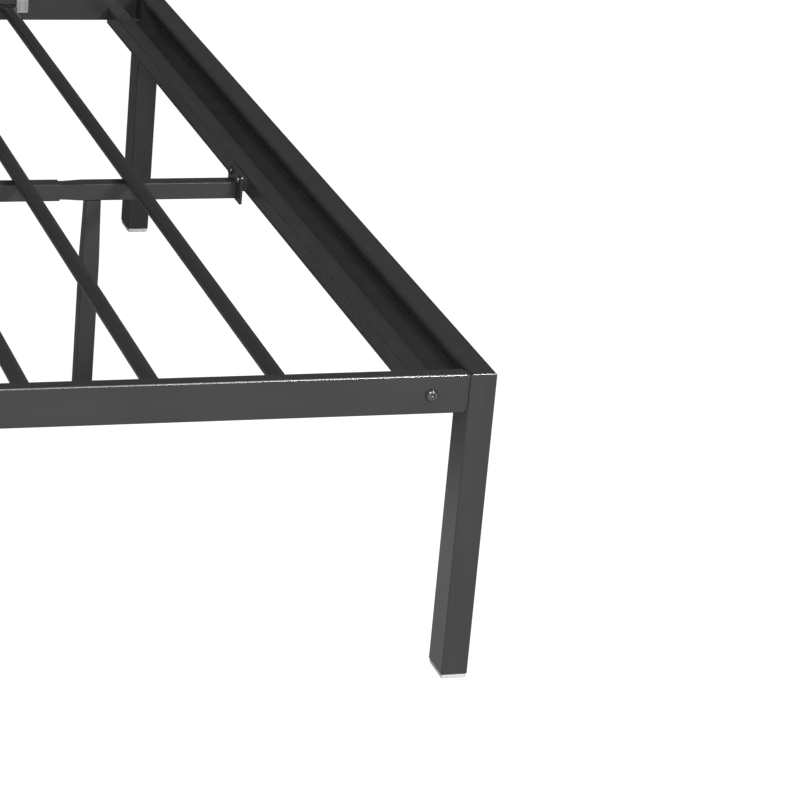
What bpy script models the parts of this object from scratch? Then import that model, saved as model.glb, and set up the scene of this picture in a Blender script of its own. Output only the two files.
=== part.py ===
"""A bolted steel platform bed frame, queen size and 14 inches high.

Metres, +Z up. +X runs along the bed to its foot end, +Y to its far long side, and the origin is on the
floor under the middle of the bed. Two numbers place a piece of an end: its inset from the end's outer
face, and its drop below the top of the frame.
"""

import math
from collections import namedtuple

import bmesh
import bpy
from mathutils import Matrix, Vector

# The whole frame
LENGTH = 2.032
WIDTH = 1.524
HEIGHT = 0.3556
GAP = 0.0003  # between pieces that touch
BEYOND = 0.01  # how far a cutter reaches past what it cuts
TUBE_STEPS = 2  # points on each rounded corner of a tube
LEAST_RADIUS = 0.0004  # of a tube's bore

# Corner legs, along X and Y, and their feet
LEG_X = 0.030
LEG_Y = 0.045
LEG_RADIUS = 0.002
LEG_WALL = 0.0015
PAD_HEIGHT = 0.005
PAD_INSET = 0.0008
PAD_PLUG = 0.014
PAD_EDGE = 0.001

# End channels, bent from sheet
SHEET = 0.0015
BEND = 0.00225  # radius at the middle of the sheet
FLANGE_WIDTH = 0.030
RETURN_DROP = 0.008
FLOOR_DROP = 0.045
FLOOR_WIDTH = 0.073
NOTCH_DROP = 0.0014  # where the channel is cut away over a leg, just inside its top flange
INNER_TUBE_DROP = 0.024
INNER_TUBE_WIDTH = 0.024

# Side rails and the stubs that they slide over
RAIL_Y = 0.018
RAIL_Z = 0.0435
RAIL_RADIUS = 0.002
RAIL_WALL = 0.0012
RAIL_INSET = 0.0338
STUB_Y = 0.0144
STUB_Z = 0.0403
STUB_WALL = 0.0015
STUB_END_INSET = 0.095
CORNER_BOLT_INSET = 0.0715

# The plate that joins the two halves of a side rail, and the leg under the joint
JOINT_LENGTH = 0.160
JOINT_THICK = 0.003
JOINT_MARGIN = 0.003
MID_LEG_X = 0.030
MID_LEG_Y = 0.018
MID_PLATE_LENGTH = 0.120
MID_PLATE_THICK = 0.003

# Slats, round tubes with their ends pressed flat
SLAT_DIAMETER = 0.0178
SLAT_WALL = 0.001
SLAT_FIRST_INSET = 0.2185
SLAT_PITCH = 0.137
SLATS_PER_HALF = 6
SLAT_DROP = 0.0273
TAB_WIDTH = 0.026
TAB_THICK = 0.005
TAB_RISE = 0.0038
TAB_REACH = 0.006
TAB_FLAT = 0.006
TAB_BLEND = 0.028
SLOT_PLAY = 0.0006

# Centre bar, its hangers and its legs
BAR_DROP = 0.0475
BAR_Y = 0.0204
BAR_Z = 0.022
BAR_WALL = 0.0012
BAR_RADIUS = 0.0018
BAR_END_Y = 0.020
BAR_END_Z = 0.0216
BAR_PLUG_Y = 0.0174
BAR_PLUG_Z = 0.019
BAR_PLUG_RADIUS = 0.0014
BAR_JOINT_INSET = 0.304
BAR_SWAGE = 0.033
BAR_PLUG_LENGTH = 0.055
HANGER_INSET = 0.079
HANGER_THICK = 0.003
HANGER_WIDTH = 0.060
HANGER_TOP_DROP = 0.024
HANGER_FOOT_DROP = 0.060
HANGER_BOLT_SPREAD = 0.018
HANGER_BOLT_DROP = 0.0305
BOSS_WIDTH = 0.056
BOSS_MARGIN = 0.002
CENTRE_LEG = 0.0216
CENTRE_LEG_TOP = 0.0184
CENTRE_LEG_TAPER = 0.082
CENTRE_LEG_INSET = 0.261
CENTRE_LEG_RADIUS = 0.0016

# Button head bolts with a hexagon socket
BOLT_SIDES = 12
HEAD_DOME = ((0.62, 1.0), (0.86, 0.82), (1.0, 0.35), (1.0, 0.0))  # shares of head radius and height
SOCKET_SHARE = 0.36
SOCKET_DEPTH_SHARE = 0.65
HOLE_PLAY = 0.0005
HOLE_EXTRA = 0.001  # how much deeper a bolt's hole is than its shank

BoltSize = namedtuple("BoltSize", "head_radius head_height shank_radius shank_length")
M8_BOLT = BoltSize(0.007, 0.0044, 0.004, 0.014)
M6_BOLT = BoltSize(0.00525, 0.0033, 0.003, 0.016)

Section = namedtuple("Section", "along width height radius shift", defaults=(0.0,))

ENDS = {"foot": 1, "head": -1}
SIDES = {"near": -1, "far": 1}
RAIL_FACE_Y = WIDTH / 2 - RAIL_Y  # the side rails' inner faces


def clear_scene():
    for obj in list(bpy.data.objects):
        bpy.data.objects.remove(obj)


def make_material(name, colour, roughness, metallic):
    material = bpy.data.materials.new(name)
    material.use_nodes = True
    shader = material.node_tree.nodes["Principled BSDF"]
    shader.inputs["Base Color"].default_value = (*colour, 1.0)
    shader.inputs["Roughness"].default_value = roughness
    shader.inputs["Metallic"].default_value = metallic
    return material


def coated_steel(name):
    return make_material(name, (0.032, 0.033, 0.035), 0.42, 0.0)


def grey_plastic(name):
    return make_material(name, (0.62, 0.62, 0.60), 0.5, 0.0)


def blackened_steel(name):
    return make_material(name, (0.05, 0.05, 0.052), 0.3, 0.9)


def add_object(name, bm, material=None, smooth_angle=35.0):
    """Turns a bmesh into an object whose faces point out, shaded smooth up to an angle."""
    bmesh.ops.recalc_face_normals(bm, faces=bm.faces)
    mesh = bpy.data.meshes.new(name)
    bm.to_mesh(mesh)
    bm.free()
    mesh.shade_smooth()
    mesh.set_sharp_from_angle(angle=math.radians(smooth_angle))
    if material:
        mesh.materials.append(material)
    obj = bpy.data.objects.new(name, mesh)
    bpy.context.scene.collection.objects.link(obj)
    return obj


def box_object(name, corner, opposite, material=None):
    """A box between any two opposite corners."""
    low = Vector(map(min, corner, opposite))
    high = Vector(map(max, corner, opposite))
    bm = bmesh.new()
    bmesh.ops.create_cube(bm, size=1.0, matrix=Matrix.LocRotScale((low + high) / 2, None, high - low))
    return add_object(name, bm, material)


def peg_object(name, start, end, radius, sides=16):
    bm = bmesh.new()
    line = Vector(end) - Vector(start)
    turn = line.to_track_quat("Z", "Y")
    place = Matrix.LocRotScale((Vector(start) + Vector(end)) / 2, turn, None)
    bmesh.ops.create_cone(
        bm, cap_ends=True, segments=sides, radius1=radius, radius2=radius, depth=line.length, matrix=place
    )
    return add_object(name, bm)


def combine(target, other, operation="DIFFERENCE"):
    """Cuts or joins a helper object into the target, and leaves the helper out of renders."""
    other.hide_render = True
    other.display_type = "WIRE"
    modifier = target.modifiers.new(other.name, "BOOLEAN")
    modifier.operation = operation
    modifier.object = other


def rounded_ring(section, steps):
    """Points around a rounded rectangle, just outside its corner arcs so that its flats are true."""
    step = math.pi / 2 / steps
    reach = section.radius / math.cos(step / 2)
    points = []
    for corner in range(4):
        side = 1 if corner in (0, 3) else -1
        level = 1 if corner < 2 else -1
        x = side * (section.width / 2 - section.radius)
        y = level * (section.height / 2 - section.radius) + section.shift
        for i in range(steps):
            angle = corner * math.pi / 2 + (i + 0.5) * step
            points.append(Vector((x + reach * math.cos(angle), y + reach * math.sin(angle))))
    return points


def place_along(axis, point, along, origin):
    """A ring's point in space, with its first coordinate along X, or along Y on an X axis."""
    x, y = point
    local = {"X": (along, x, y), "Y": (x, along, y), "Z": (x, y, along)}[axis]
    return Vector(origin) + Vector(local)


def bridge(bm, first, second):
    for i, vert in enumerate(first):
        after = (i + 1) % len(first)
        bm.faces.new((vert, first[after], second[after], second[i]))


def loft(name, axis, origin, outer, material, inner=None, blind=False, steps=TUBE_STEPS):
    """A solid through rounded sections along an axis. Inner sections hollow it, right through or blind."""
    bm = bmesh.new()

    def rings(sections):
        made = []
        for section in sections:
            points = rounded_ring(section, steps)
            made.append([bm.verts.new(place_along(axis, p, section.along, origin)) for p in points])
        for first, second in zip(made, made[1:]):
            bridge(bm, first, second)
        return made

    outside = rings(outer)
    if inner is None:
        bm.faces.new(outside[0])
        bm.faces.new(outside[-1])
        return add_object(name, bm, material)
    inside = rings(inner)
    bridge(bm, outside[0], inside[0])
    if blind:
        bm.faces.new(inside[-1])
        bm.faces.new(outside[-1])
    else:
        bridge(bm, outside[-1], inside[-1])
    return add_object(name, bm, material)


def thinned(section, wall):
    """The section of a tube's bore."""
    smallest = min(section.width, section.height) / 2 - wall
    radius = min(max(section.radius - wall, LEAST_RADIUS), smallest)
    return Section(section.along, section.width - 2 * wall, section.height - 2 * wall, radius, section.shift)


def tube(name, axis, origin, sections, wall, material, steps=TUBE_STEPS):
    """An open-ended tube through the sections, with one wall thickness."""
    bore = [thinned(section, wall) for section in sections]
    return loft(name, axis, origin, sections, material, inner=bore, steps=steps)


def sheet_outline(path, thickness, bend, steps=2):
    """The closed outline of a sheet bent at right angles along a path, with round bends."""
    left, right = [], []
    for i, point in enumerate(path):
        if i in (0, len(path) - 1):
            line = (path[1] - path[0]) if i == 0 else (path[-1] - path[-2])
            side = Vector((-line.y, line.x)).normalized() * thickness / 2
            left.append(point + side)
            right.append(point - side)
            continue
        before = (point - path[i - 1]).normalized()
        after = (path[i + 1] - point).normalized()
        middle = point - before * bend + after * bend
        near, far = (left, right) if before.cross(after) > 0 else (right, left)
        for k in range(steps + 1):
            angle = k / steps * math.pi / 2
            outward = before * math.sin(angle) - after * math.cos(angle)
            near.append(middle + outward * (bend - thickness / 2))
            far.append(middle + outward * (bend + thickness / 2))
    return left + right[::-1]


def end_point(end, inset, y, drop):
    """A point of an end, from its inset and its drop."""
    return Vector((ENDS[end] * (LENGTH / 2 - inset), y, HEIGHT - drop))


def extruded_sheet(name, end, path, half_width, material):
    """A bent sheet across the bed, from its path in inset and drop."""
    bm = bmesh.new()
    outline = sheet_outline([Vector(p) for p in path], SHEET, BEND)
    rings = [[bm.verts.new(end_point(end, p.x, y, p.y)) for p in outline] for y in (-half_width, half_width)]
    bridge(bm, *rings)
    bm.faces.new(rings[0])
    bm.faces.new(rings[1])
    return add_object(name, bm, material)


def make_end_channel(end):
    """Top flange with a turned-down lip, outer web and wide floor. The flange runs on over both legs."""
    lip = FLANGE_WIDTH - SHEET / 2
    path = (
        (lip, RETURN_DROP),
        (lip, SHEET / 2),
        (SHEET / 2, SHEET / 2),
        (SHEET / 2, FLOOR_DROP + SHEET / 2),
        (FLOOR_WIDTH, FLOOR_DROP + SHEET / 2),
    )
    channel = extruded_sheet(f"{end}_end_channel", end, path, WIDTH / 2, coated_steel(f"{end} channel coat"))
    for side, sign in SIDES.items():
        outside = sign * (WIDTH / 2 + BEYOND)
        leg_face = sign * (WIDTH / 2 - LEG_Y - GAP)
        leg_room = box_object(
            f"{end}_{side}_leg_notch",
            end_point(end, -BEYOND, leg_face, NOTCH_DROP),
            end_point(end, LEG_X + GAP, outside, FLOOR_DROP + BEYOND),
        )
        rail_room = box_object(
            f"{end}_{side}_rail_notch",
            end_point(end, LEG_X, sign * (RAIL_FACE_Y - GAP), RETURN_DROP + BEYOND),
            end_point(end, FLOOR_WIDTH + BEYOND, outside, FLOOR_DROP + BEYOND),
        )
        combine(channel, leg_room)
        combine(channel, rail_room)


def make_inner_tube(end):
    """The tube on the channel's floor that carries the mattress end, with the hanger's boss."""
    height = FLOOR_DROP - GAP - INNER_TUBE_DROP
    middle = end_point(end, FLOOR_WIDTH - INNER_TUBE_WIDTH / 2, 0, INNER_TUBE_DROP + height / 2)
    half = RAIL_FACE_Y - GAP
    sections = [Section(y, INNER_TUBE_WIDTH, height, RAIL_RADIUS) for y in (-half, half)]
    coat = coated_steel(f"{end} inner tube coat")
    inner = tube(f"{end}_inner_tube", "Y", middle, sections, RAIL_WALL, coat)
    boss = box_object(
        f"{end}_hanger_boss",
        end_point(end, FLOOR_WIDTH - RAIL_WALL / 2, -BOSS_WIDTH / 2, INNER_TUBE_DROP + BOSS_MARGIN),
        end_point(end, HANGER_INSET - GAP, BOSS_WIDTH / 2, FLOOR_DROP - BOSS_MARGIN),
    )
    combine(inner, boss, "UNION")
    return inner


def make_corner_leg(end, side):
    x, y = ENDS[end] * (LENGTH - LEG_X) / 2, SIDES[side] * (WIDTH - LEG_Y) / 2
    floor, top = PAD_HEIGHT + GAP, HEIGHT - SHEET - GAP
    sections = [Section(z, LEG_X, LEG_Y, LEG_RADIUS) for z in (floor, top)]
    coat = coated_steel(f"{end} {side} leg coat")
    tube(f"{end}_{side}_corner_leg", "Z", (x, y, 0), sections, LEG_WALL, coat)
    make_pad(f"{end}_{side}_corner_pad", x, y, LEG_X, LEG_Y, LEG_WALL)


def make_pad(name, x, y, width, depth, wall):
    """A moulded foot: a low pad under the tube, and a plug inside it."""
    base_x, base_y = width - 2 * PAD_INSET, depth - 2 * PAD_INSET
    plug_x, plug_y = width - 2 * (wall + GAP), depth - 2 * (wall + GAP)
    sections = [
        Section(0, base_x - 2 * PAD_EDGE, base_y - 2 * PAD_EDGE, LEG_RADIUS),
        Section(PAD_EDGE, base_x, base_y, LEG_RADIUS),
        Section(PAD_HEIGHT, base_x, base_y, LEG_RADIUS),
        Section(PAD_HEIGHT, plug_x, plug_y, LEG_RADIUS / 2),
        Section(PAD_HEIGHT + PAD_PLUG, plug_x, plug_y, LEG_RADIUS / 2),
    ]
    loft(name, "Z", (x, y, 0), sections, grey_plastic(f"{name} plastic"))


def slat_xs_of_half(end):
    return [ENDS[end] * (LENGTH / 2 - SLAT_FIRST_INSET - i * SLAT_PITCH) for i in range(SLATS_PER_HALF)]


def tab_slot(name, x, sign):
    """A cutter for the slot that a slat's flat end goes through."""
    z = HEIGHT - SLAT_DROP + TAB_RISE
    half_x, half_z = TAB_WIDTH / 2 + SLOT_PLAY, TAB_THICK / 2 + SLOT_PLAY
    depth = 2 * JOINT_THICK
    return box_object(
        name,
        (x - half_x, sign * (RAIL_FACE_Y - depth), z - half_z),
        (x + half_x, sign * (RAIL_FACE_Y + RAIL_WALL * 2), z + half_z),
    )


def make_side_rail(end, side):
    """Half a side rail, slotted for the slats, over the stub on its corner leg."""
    sign, way = SIDES[side], ENDS[end]
    z = HEIGHT - RAIL_Z / 2
    y = sign * (WIDTH - RAIL_Y) / 2
    joint_x, end_x = way * GAP, way * (LENGTH / 2 - RAIL_INSET)
    sections = [Section(x, RAIL_Y, RAIL_Z, RAIL_RADIUS) for x in (joint_x, end_x)]
    name = f"{end}_{side}_side_rail"
    rail = tube(name, "X", (0, y, z), sections, RAIL_WALL, coated_steel(f"{end} {side} rail coat"))
    for i, x in enumerate(slat_xs_of_half(end)):
        combine(rail, tab_slot(f"{end}_{side}_slot_{i + 1}", x, sign))
    stub_xs = way * (LENGTH / 2 - STUB_END_INSET), way * (LENGTH / 2 - LEG_X - GAP)
    stub_sections = [Section(x, STUB_Y, STUB_Z, RAIL_RADIUS) for x in stub_xs]
    stub_name = f"{end}_{side}_rail_stub"
    stub = tube(stub_name, "X", (0, y, z), stub_sections, STUB_WALL, coated_steel(f"{end} {side} stub coat"))
    bolt_x = way * (LENGTH / 2 - CORNER_BOLT_INSET)
    face = Vector((bolt_x, sign * WIDTH / 2, z))
    outward = Vector((0, sign, 0))
    hole = peg_object(
        f"{end}_{side}_bolt_hole",
        face + outward * BEYOND,
        face - outward * RAIL_Y / 2,
        M8_BOLT.shank_radius + HOLE_PLAY,
    )
    combine(rail, hole)
    combine(stub, hole)
    make_bolt(f"{end}_{side}_corner_bolt", face + outward * GAP, outward, M8_BOLT)


def make_joint_plate(side):
    """Bridges the two halves of a side rail on its inner face, and carries the middle slat's end."""
    sign = SIDES[side]
    plate = box_object(
        f"{side}_rail_joint_plate",
        (-JOINT_LENGTH / 2, sign * (RAIL_FACE_Y - GAP - JOINT_THICK), HEIGHT - RAIL_Z + JOINT_MARGIN),
        (JOINT_LENGTH / 2, sign * (RAIL_FACE_Y - GAP), HEIGHT - JOINT_MARGIN),
        coated_steel(f"{side} joint plate coat"),
    )
    combine(plate, tab_slot(f"{side}_middle_slot", 0.0, sign))


def make_mid_leg(side):
    """The leg under a side rail's joint: a tube with a plate across its top."""
    y = SIDES[side] * (WIDTH - RAIL_Y) / 2
    top = HEIGHT - RAIL_Z - GAP
    under = top - MID_PLATE_THICK
    outer = [
        Section(PAD_HEIGHT + GAP, MID_LEG_X, MID_LEG_Y - 2 * GAP, LEG_RADIUS),
        Section(under, MID_LEG_X, MID_LEG_Y - 2 * GAP, LEG_RADIUS),
        Section(under, MID_PLATE_LENGTH, MID_LEG_Y, LEG_RADIUS),
        Section(top, MID_PLATE_LENGTH, MID_LEG_Y, LEG_RADIUS),
    ]
    inner = [thinned(section, LEG_WALL) for section in outer[:2]]
    material = coated_steel(f"{side} middle leg coat")
    loft(f"{side}_middle_leg", "Z", (0, y, 0), outer, material, inner=inner, blind=True)
    make_pad(f"{side}_middle_pad", 0, y, MID_LEG_X, MID_LEG_Y, LEG_WALL)


def make_slat(number, x, reach):
    """A round tube whose ends are pressed into flat tabs, a little above its middle."""
    material = coated_steel(f"slat {number} coat")
    tab_end, tab_start, round_start = RAIL_FACE_Y + reach, RAIL_FACE_Y - TAB_FLAT, RAIL_FACE_Y - TAB_BLEND

    def flat(y):
        return Section(y, TAB_WIDTH, TAB_THICK, TAB_THICK / 2, TAB_RISE)

    def full(y):
        return Section(y, SLAT_DIAMETER, SLAT_DIAMETER, SLAT_DIAMETER / 2)

    sections = [flat(-tab_end), flat(-tab_start), full(-round_start)]
    sections += [full(round_start), flat(tab_start), flat(tab_end)]
    tube(f"slat_{number:02d}", "Y", (x, 0, HEIGHT - SLAT_DROP), sections, SLAT_WALL, material, steps=3)


def make_slats():
    xs = slat_xs_of_half("foot") + [0.0] + slat_xs_of_half("head")[::-1]
    for i, x in enumerate(xs):
        reach = TAB_REACH if x else -2 * GAP
        make_slat(i + 1, x, reach)


def make_centre_bar():
    """A long middle tube, and an end tube at each end that is drawn down to plug into it."""
    z = HEIGHT - BAR_DROP
    joint_x = LENGTH / 2 - BAR_JOINT_INSET
    middle = [Section(x, BAR_Y, BAR_Z, BAR_RADIUS) for x in (-joint_x, joint_x)]
    tube("centre_bar_middle", "X", (0, 0, z), middle, BAR_WALL, coated_steel("centre bar coat"))
    for end, way in ENDS.items():
        bar_end = LENGTH / 2 - HANGER_INSET - HANGER_THICK - GAP
        shoulder = joint_x + BAR_SWAGE
        sections = [
            Section(way * (joint_x - BAR_PLUG_LENGTH), BAR_PLUG_Y, BAR_PLUG_Z, BAR_PLUG_RADIUS),
            Section(way * (joint_x + GAP), BAR_PLUG_Y, BAR_PLUG_Z, BAR_PLUG_RADIUS),
            Section(way * shoulder, BAR_END_Y, BAR_END_Z, BAR_RADIUS),
            Section(way * bar_end, BAR_END_Y, BAR_END_Z, BAR_RADIUS),
        ]
        tube(f"centre_bar_{end}", "X", (0, 0, z), sections, BAR_WALL, coated_steel(f"centre bar {end} coat"))


def make_hanger(end, inner_tube):
    """The plate that hangs the centre bar from an end, with its two bolts."""
    inner_face = HANGER_INSET + HANGER_THICK
    plate = box_object(
        f"{end}_bar_hanger",
        end_point(end, HANGER_INSET, -HANGER_WIDTH / 2, HANGER_TOP_DROP),
        end_point(end, inner_face, HANGER_WIDTH / 2, HANGER_FOOT_DROP),
        coated_steel(f"{end} hanger coat"),
    )
    inward = Vector((-ENDS[end], 0, 0))
    for side, sign in SIDES.items():
        face = end_point(end, inner_face, sign * HANGER_BOLT_SPREAD, HANGER_BOLT_DROP)
        hole = peg_object(
            f"{end}_{side}_hanger_hole",
            face + inward * BEYOND,
            face - inward * (M6_BOLT.shank_length + HOLE_EXTRA),
            M6_BOLT.shank_radius + HOLE_PLAY,
            sides=BOLT_SIDES,
        )
        combine(plate, hole)
        combine(inner_tube, hole)
        make_bolt(f"{end}_{side}_hanger_bolt", face + inward * GAP, inward, M6_BOLT)


def make_centre_leg(name, x, bar_height):
    """A square tube drawn in towards its top, under the centre bar."""
    top = HEIGHT - BAR_DROP - bar_height / 2 - GAP
    sections = [
        Section(PAD_HEIGHT + GAP, CENTRE_LEG, CENTRE_LEG, CENTRE_LEG_RADIUS),
        Section(top - CENTRE_LEG_TAPER, CENTRE_LEG, CENTRE_LEG, CENTRE_LEG_RADIUS),
        Section(top, CENTRE_LEG_TOP, CENTRE_LEG_TOP, CENTRE_LEG_RADIUS),
    ]
    tube(f"{name}_centre_leg", "Z", (x, 0, 0), sections, BAR_WALL, coated_steel(f"{name} centre leg coat"))
    make_pad(f"{name}_centre_pad", x, 0, CENTRE_LEG, CENTRE_LEG, BAR_WALL)


def circle_ring(bm, radius, z):
    points = [i / BOLT_SIDES * math.tau for i in range(BOLT_SIDES)]
    return [bm.verts.new((radius * math.cos(a), radius * math.sin(a), z)) for a in points]


def hexagon_ring(bm, radius, z):
    """A hexagon's corners, with the middles of its sides between them."""
    ring = []
    for i in range(BOLT_SIDES):
        reach = radius if i % 2 == 0 else radius * math.cos(math.pi / 6)
        angle = i / BOLT_SIDES * math.tau
        ring.append(bm.verts.new((reach * math.cos(angle), reach * math.sin(angle), z)))
    return ring


def make_bolt(name, seat, outward, size):
    """A button head bolt whose head sits on a point and faces outward."""
    bm = bmesh.new()
    socket = size.head_radius * SOCKET_SHARE
    rings = [
        hexagon_ring(bm, socket, size.head_height * (1 - SOCKET_DEPTH_SHARE)),
        hexagon_ring(bm, socket, size.head_height),
    ]
    rings += [circle_ring(bm, size.head_radius * r, size.head_height * z) for r, z in HEAD_DOME]
    rings += [circle_ring(bm, size.shank_radius, z) for z in (0, -size.shank_length)]
    for first, second in zip(rings, rings[1:]):
        bridge(bm, first, second)
    bm.faces.new(rings[0])
    bm.faces.new(rings[-1])
    bolt = add_object(name, bm, blackened_steel(f"{name} steel"))
    bolt.location = seat
    bolt.rotation_mode = "QUATERNION"
    bolt.rotation_quaternion = outward.to_track_quat("Z", "Y")


def main():
    clear_scene()
    for end in ENDS:
        make_end_channel(end)
        make_hanger(end, make_inner_tube(end))
        for side in SIDES:
            make_corner_leg(end, side)
            make_side_rail(end, side)
        make_centre_leg(end, ENDS[end] * (LENGTH / 2 - CENTRE_LEG_INSET), BAR_END_Z)
    for side in SIDES:
        make_joint_plate(side)
        make_mid_leg(side)
    make_slats()
    make_centre_bar()
    make_centre_leg("middle", 0.0, BAR_Z)


main()
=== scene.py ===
"""The steel platform bed frame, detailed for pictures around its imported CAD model."""

import math

import bmesh
import bpy
from mathutils import Matrix, Vector


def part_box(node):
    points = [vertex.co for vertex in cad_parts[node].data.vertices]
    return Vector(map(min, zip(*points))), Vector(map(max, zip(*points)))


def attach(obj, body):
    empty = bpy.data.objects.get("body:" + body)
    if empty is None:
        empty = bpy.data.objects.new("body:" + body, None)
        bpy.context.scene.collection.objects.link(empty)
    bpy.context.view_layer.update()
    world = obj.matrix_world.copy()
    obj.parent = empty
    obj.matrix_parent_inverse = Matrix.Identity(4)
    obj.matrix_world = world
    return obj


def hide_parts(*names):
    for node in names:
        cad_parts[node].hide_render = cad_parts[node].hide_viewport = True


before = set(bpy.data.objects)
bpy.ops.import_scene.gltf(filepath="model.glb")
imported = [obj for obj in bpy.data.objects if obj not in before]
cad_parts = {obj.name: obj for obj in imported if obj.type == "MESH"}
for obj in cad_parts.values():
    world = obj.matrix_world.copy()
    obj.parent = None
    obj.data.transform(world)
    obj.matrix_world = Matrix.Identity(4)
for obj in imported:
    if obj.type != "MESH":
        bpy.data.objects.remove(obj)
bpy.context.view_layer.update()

ENDS = {"foot": 1, "head": -1}
SIDES = {"near": -1, "far": 1}
CORNERS = [(end, side) for end in ENDS for side in SIDES]

# Where the frame's own faces lie
END_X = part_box("foot_end_channel")[1].x
SIDE_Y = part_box("foot_end_channel")[1].y
TOP_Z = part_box("foot_end_channel")[1].z
RAIL_LOW, RAIL_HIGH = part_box("foot_far_side_rail")
RAIL_FACE_Y = RAIL_LOW.y  # the side rails' inner faces

# The same sheet and tube sizes as the solids, in metres
GAP = 0.0003
SHEET = 0.0015
BEND = 0.00225
FLANGE_WIDTH = 0.030
RETURN_DROP = 0.008
FLOOR_DROP = 0.045
FLOOR_WIDTH = 0.073
INNER_TUBE_RADIUS = 0.002
TUBE_INSET = 0.049
LEG_RADIUS = 0.002
LEG_WALL = 0.0015
RAIL_RADIUS = 0.002
TUBE_WALL = 0.0012
SLAT_WALL = 0.001
TAB_WIDTH = 0.026
TAB_THICK = 0.005
TAB_RISE = 0.0038
TAB_FLAT = 0.006
TAB_BLEND = 0.028
SLOT_PLAY = 0.0006
BAR_RADIUS = 0.0018
BAR_SWAGE = 0.033
BAR_PLUG = (0.0174, 0.019, 0.0014)
CENTRE_LEG_TOP = 0.0184
CENTRE_LEG_TAPER = 0.082
CENTRE_LEG_RADIUS = 0.0016
PAD_HEIGHT = 0.005
PAD_INSET = 0.0008
PAD_CORNER = 0.0024
BOSS_WIDTH = 0.056
BOSS_MARGIN = 0.002
HANGER_RADIUS = 0.0025
JOINT_PLATE_RADIUS = 0.005
MIDDLE_PLATE = 0.003
MIDDLE_PLATE_RADIUS = 0.004
BEYOND = 0.01  # how far a cutter reaches past what it cuts

# Details that the solids leave out
EDGE = 0.00025  # the broken edge of a sawn tube
SLAT_EDGE = 0.0002
PLATE_EDGE = 0.0004
FLANGE_END_ROUND = 0.0012
LEAST_RADIUS = 0.0003  # of a tube's bore
CLIP_WIDTH = 0.0170
CLIP_HEIGHT = 0.0205
CLIP_CORNER = 0.0022
CLIP_OFFSET = 0.0213  # from the middle of the slat
CLIP_DROP = 0.0219  # from the frame's top to the middle of the clip
CLIP_SLOT = (0.0012, 0.0144)
CLIP_SLOT_OFFSET = 0.0042
# Of a bolt: its head's height, and its socket's half width over corners and depth
CORNER_BOLT = (0.0044, 0.0027, 0.0028)
HANGER_BOLT = (0.0033, 0.0021, 0.0021)
JOINT_SCREW = (0.0028, 0.0023, 0.0020)
JOINT_SCREW_RADIUS = 0.00475
JOINT_SCREW_XS = (-0.062, -0.028, 0.028, 0.062)
WELD_STEP = 0.0007
WELD_RADIUS = 0.0013
TUBE_WELD_RADIUS = 0.0014
TUBE_WELD_HALF = 0.014
TUBE_WELD_YS = (-0.62, -0.36, -0.12, 0.12, 0.36, 0.62)

CORNER_STEPS = 6
BEND_STEPS = 7
ROUND_STEPS = 10
BOLT_SIDES = 48
DOME_STEPS = 9
WELD_SIDES = 12
SWAGE_STEPS = 8
SLAT_STEPS = 10


# ---------------------------------------------------------------- materials


class Nodes:
    """Adds nodes to a material's tree and wires them in one call."""

    def __init__(self, name):
        self.material = bpy.data.materials.new(name)
        self.material.use_nodes = True
        self.tree = self.material.node_tree
        self.shader = self.tree.nodes["Principled BSDF"]
        self.place = self.add("ShaderNodeTexCoord").outputs["Object"]

    def add(self, kind, **settings):
        node = self.tree.nodes.new(kind)
        for key, value in settings.items():
            setattr(node, key, value)
        return node

    def wire(self, source, socket):
        self.tree.links.new(source, socket)

    def noise(self, scale, detail=2.0, stretch=(1.0, 1.0, 1.0)):
        mapping = self.add("ShaderNodeMapping")
        mapping.inputs["Scale"].default_value = stretch
        self.wire(self.place, mapping.inputs["Vector"])
        node = self.add("ShaderNodeTexNoise")
        node.inputs["Scale"].default_value = scale
        node.inputs["Detail"].default_value = detail
        self.wire(mapping.outputs["Vector"], node.inputs["Vector"])
        return node.outputs["Fac"]

    def spread(self, value, low, high, start=0.3, end=0.7):
        node = self.add("ShaderNodeMapRange")
        self.wire(value, node.inputs["Value"])
        ends = {"From Min": start, "From Max": end, "To Min": low, "To Max": high}
        for key, number in ends.items():
            node.inputs[key].default_value = number
        return node.outputs["Result"]

    def blend(self, factor, first, second):
        """Mixes two colours, each a tuple or a socket."""
        node = self.add("ShaderNodeMix", data_type="RGBA")
        self.wire(factor, node.inputs["Factor"])
        for socket, value in ((node.inputs["A"], first), (node.inputs["B"], second)):
            if isinstance(value, tuple):
                socket.default_value = (*value, 1.0)
            else:
                self.wire(value, socket)
        return node.outputs["Result"]

    def bump(self, height, strength, distance, under=None):
        node = self.add("ShaderNodeBump")
        node.inputs["Strength"].default_value = strength
        node.inputs["Distance"].default_value = distance
        self.wire(height, node.inputs["Height"])
        if under is not None:
            self.wire(under, node.inputs["Normal"])
        return node.outputs["Normal"]

    def finish(self, colour, roughness, normal, metallic=0.0, specular=0.5):
        self.wire(colour, self.shader.inputs["Base Color"])
        self.wire(roughness, self.shader.inputs["Roughness"])
        self.wire(normal, self.shader.inputs["Normal"])
        self.shader.inputs["Metallic"].default_value = metallic
        self.shader.inputs["Specular IOR Level"].default_value = specular
        return self.material


COAT_DARK = (0.0280, 0.0285, 0.0295)
COAT_LIGHT = (0.0350, 0.0355, 0.0365)
COAT_ROUGH = (0.20, 0.25)
COAT_SPECULAR = 0.42
ALONG_X = (0.25, 1.0, 1.0)  # the mottling runs along a tube
ALONG_Y = (1.0, 0.25, 1.0)
ALONG_Z = (1.0, 1.0, 0.25)
EVEN = (1.0, 1.0, 1.0)


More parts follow.
